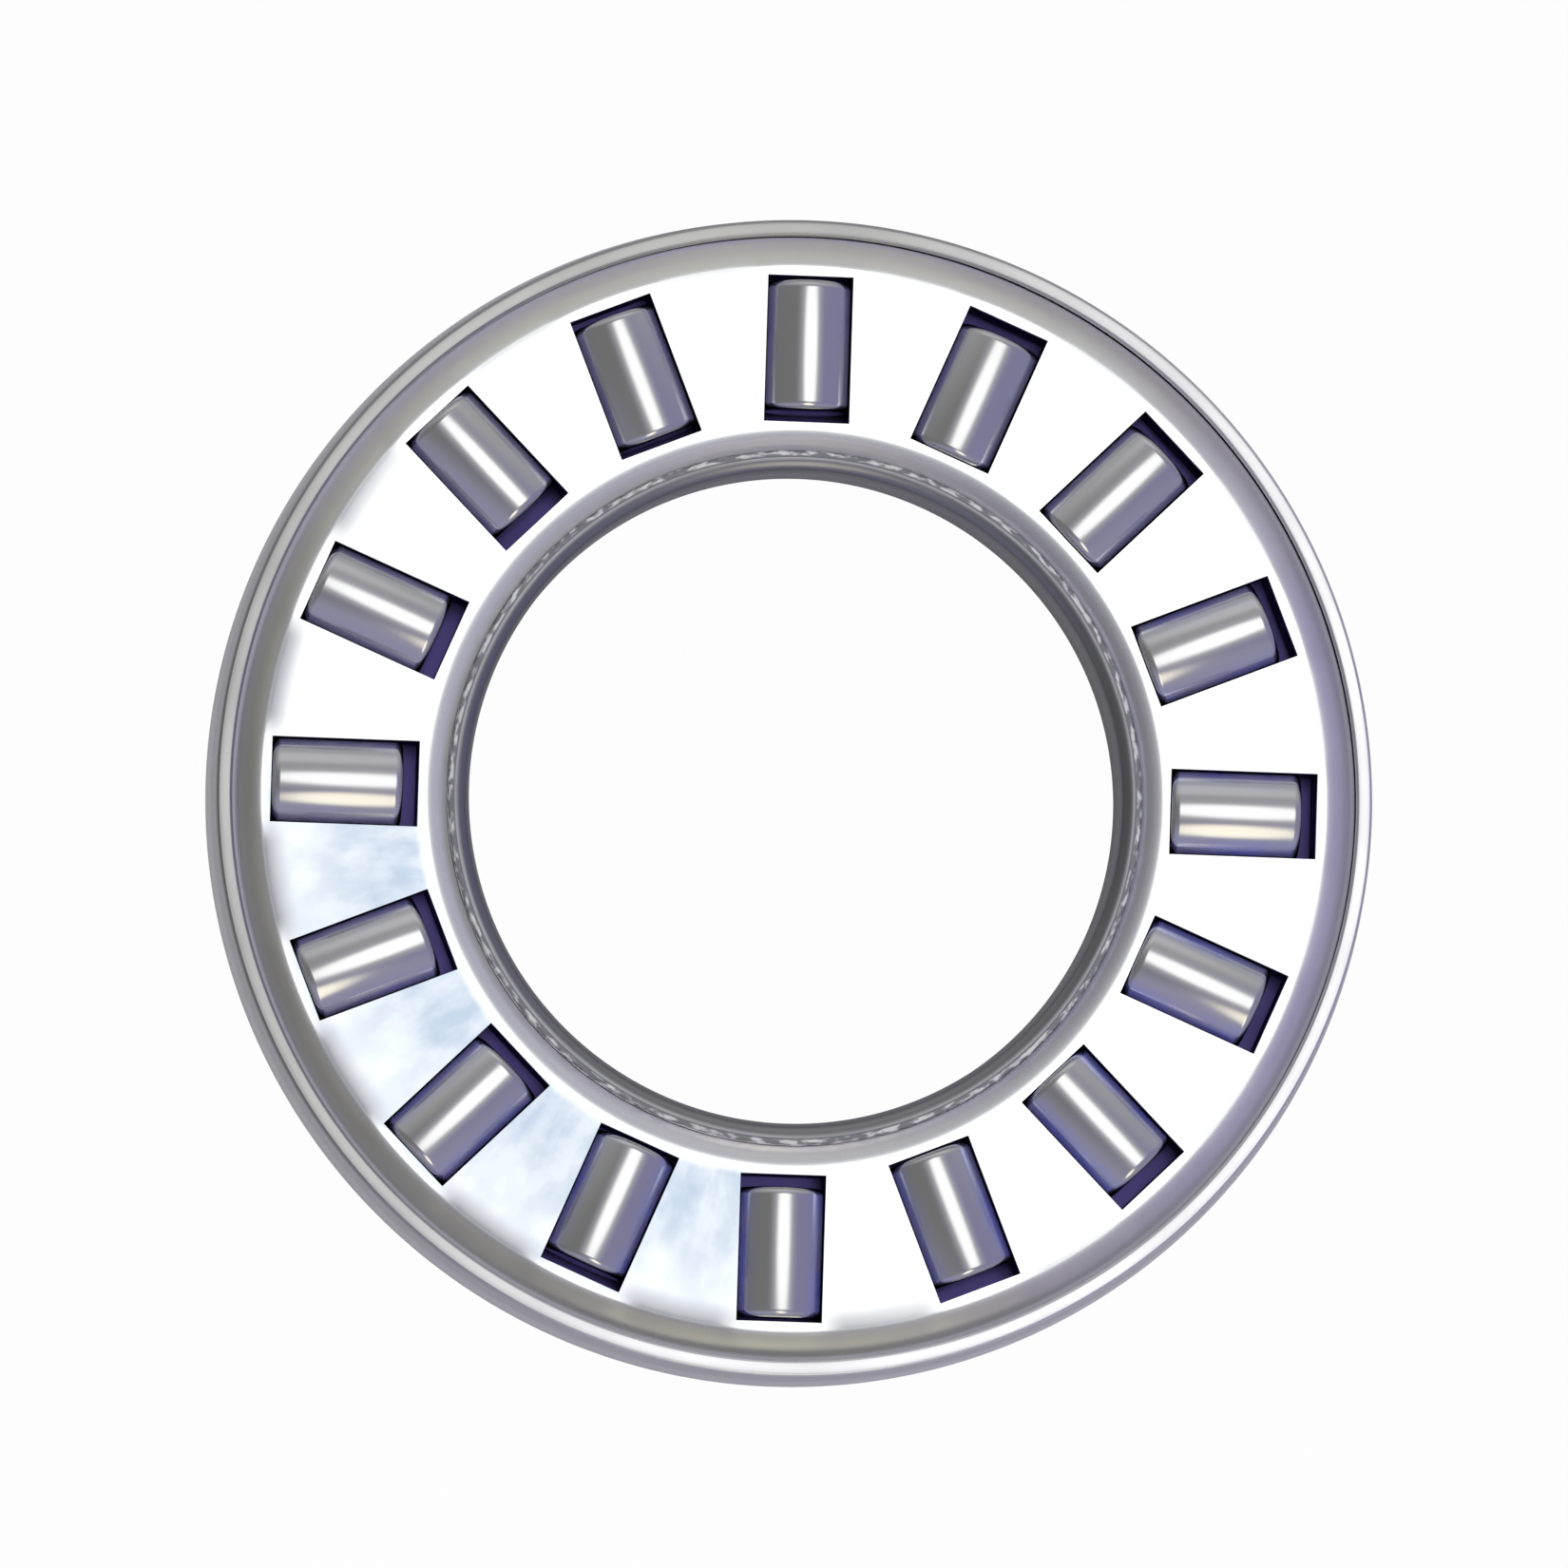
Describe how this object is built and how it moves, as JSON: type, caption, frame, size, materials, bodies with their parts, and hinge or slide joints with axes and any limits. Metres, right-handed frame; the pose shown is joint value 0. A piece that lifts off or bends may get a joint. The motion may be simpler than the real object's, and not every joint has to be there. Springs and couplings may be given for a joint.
{
  "type": "thrust roller bearing",
  "caption": "Flat thrust bearing: a flanged race with a leaning rim and a flared bore lip, a two-piece cage and a ring of short cylindrical rollers open on the loaded side.",
  "frame": {"origin": "centre of the race's flat seating face, on the bearing's axis", "axes": "+Z along the bearing's axis, from the seating face to the open side where the rollers show; +X through the first roller"},
  "size_m": [0.0572, 0.0572, 0.0053],
  "materials": {
    "race_steel": "satin",
    "cage_steel": "satin",
    "roller_steel": "polished"
  },
  "bodies": {
    "race": {"flanged_race": "race_steel"},
    "cage": {"cage_upper_half": "cage_steel", "cage_lower_half": "cage_steel"},
    "roller_01": {"roller_01": "roller_steel"},
    "roller_02": {"roller_02": "roller_steel"},
    "roller_03": {"roller_03": "roller_steel"},
    "roller_04": {"roller_04": "roller_steel"},
    "roller_05": {"roller_05": "roller_steel"},
    "roller_06": {"roller_06": "roller_steel"},
    "roller_07": {"roller_07": "roller_steel"},
    "roller_08": {"roller_08": "roller_steel"},
    "roller_09": {"roller_09": "roller_steel"},
    "roller_10": {"roller_10": "roller_steel"},
    "roller_11": {"roller_11": "roller_steel"},
    "roller_12": {"roller_12": "roller_steel"},
    "roller_13": {"roller_13": "roller_steel"},
    "roller_14": {"roller_14": "roller_steel"},
    "roller_15": {"roller_15": "roller_steel"},
    "roller_16": {"roller_16": "roller_steel"}
  },
  "joints": [
    {"name": "cage_spin", "type": "hinge", "parent": "race", "child": "cage", "pos_m": [0, 0, 0.00309], "axis": [0, 0, 1], "continuous": true},
    {"name": "roller_01_spin", "type": "hinge", "parent": "cage", "child": "roller_01", "pos_m": [0.02195, 0, 0.00309], "axis": [1, 0, 0], "continuous": true},
    {"name": "roller_02_spin", "type": "hinge", "parent": "cage", "child": "roller_02", "pos_m": [0.02028, 0.0084, 0.00309], "axis": [0.9239, 0.3827, 0], "continuous": true},
    {"name": "roller_03_spin", "type": "hinge", "parent": "cage", "child": "roller_03", "pos_m": [0.01552, 0.01552, 0.00309], "axis": [0.7071, 0.7071, 0], "continuous": true},
    {"name": "roller_04_spin", "type": "hinge", "parent": "cage", "child": "roller_04", "pos_m": [0.0084, 0.02028, 0.00309], "axis": [0.3827, 0.9239, 0], "continuous": true},
    {"name": "roller_05_spin", "type": "hinge", "parent": "cage", "child": "roller_05", "pos_m": [0, 0.02195, 0.00309], "axis": [0, 1, 0], "continuous": true},
    {"name": "roller_06_spin", "type": "hinge", "parent": "cage", "child": "roller_06", "pos_m": [-0.0084, 0.02028, 0.00309], "axis": [-0.3827, 0.9239, 0], "continuous": true},
    {"name": "roller_07_spin", "type": "hinge", "parent": "cage", "child": "roller_07", "pos_m": [-0.01552, 0.01552, 0.00309], "axis": [-0.7071, 0.7071, 0], "continuous": true},
    {"name": "roller_08_spin", "type": "hinge", "parent": "cage", "child": "roller_08", "pos_m": [-0.02028, 0.0084, 0.00309], "axis": [-0.9239, 0.3827, 0], "continuous": true},
    {"name": "roller_09_spin", "type": "hinge", "parent": "cage", "child": "roller_09", "pos_m": [-0.02195, 0, 0.00309], "axis": [-1, 0, 0], "continuous": true},
    {"name": "roller_10_spin", "type": "hinge", "parent": "cage", "child": "roller_10", "pos_m": [-0.02028, -0.0084, 0.00309], "axis": [-0.9239, -0.3827, 0], "continuous": true},
    {"name": "roller_11_spin", "type": "hinge", "parent": "cage", "child": "roller_11", "pos_m": [-0.01552, -0.01552, 0.00309], "axis": [-0.7071, -0.7071, 0], "continuous": true},
    {"name": "roller_12_spin", "type": "hinge", "parent": "cage", "child": "roller_12", "pos_m": [-0.0084, -0.02028, 0.00309], "axis": [-0.3827, -0.9239, 0], "continuous": true},
    {"name": "roller_13_spin", "type": "hinge", "parent": "cage", "child": "roller_13", "pos_m": [0, -0.02195, 0.00309], "axis": [0, -1, 0], "continuous": true},
    {"name": "roller_14_spin", "type": "hinge", "parent": "cage", "child": "roller_14", "pos_m": [0.0084, -0.02028, 0.00309], "axis": [0.3827, -0.9239, 0], "continuous": true},
    {"name": "roller_15_spin", "type": "hinge", "parent": "cage", "child": "roller_15", "pos_m": [0.01552, -0.01552, 0.00309], "axis": [0.7071, -0.7071, 0], "continuous": true},
    {"name": "roller_16_spin", "type": "hinge", "parent": "cage", "child": "roller_16", "pos_m": [0.02028, -0.0084, 0.00309], "axis": [0.9239, -0.3827, 0], "continuous": true}
  ],
  "couplings": [
    {"joint": "roller_01_spin", "follows": "cage_spin", "ratio": -9.7578},
    {"joint": "roller_02_spin", "follows": "cage_spin", "ratio": -9.7578},
    {"joint": "roller_03_spin", "follows": "cage_spin", "ratio": -9.7578},
    {"joint": "roller_04_spin", "follows": "cage_spin", "ratio": -9.7578},
    {"joint": "roller_05_spin", "follows": "cage_spin", "ratio": -9.7578},
    {"joint": "roller_06_spin", "follows": "cage_spin", "ratio": -9.7578},
    {"joint": "roller_07_spin", "follows": "cage_spin", "ratio": -9.7578},
    {"joint": "roller_08_spin", "follows": "cage_spin", "ratio": -9.7578},
    {"joint": "roller_09_spin", "follows": "cage_spin", "ratio": -9.7578},
    {"joint": "roller_10_spin", "follows": "cage_spin", "ratio": -9.7578},
    {"joint": "roller_11_spin", "follows": "cage_spin", "ratio": -9.7578},
    {"joint": "roller_12_spin", "follows": "cage_spin", "ratio": -9.7578},
    {"joint": "roller_13_spin", "follows": "cage_spin", "ratio": -9.7578},
    {"joint": "roller_14_spin", "follows": "cage_spin", "ratio": -9.7578},
    {"joint": "roller_15_spin", "follows": "cage_spin", "ratio": -9.7578},
    {"joint": "roller_16_spin", "follows": "cage_spin", "ratio": -9.7578}
  ]
}
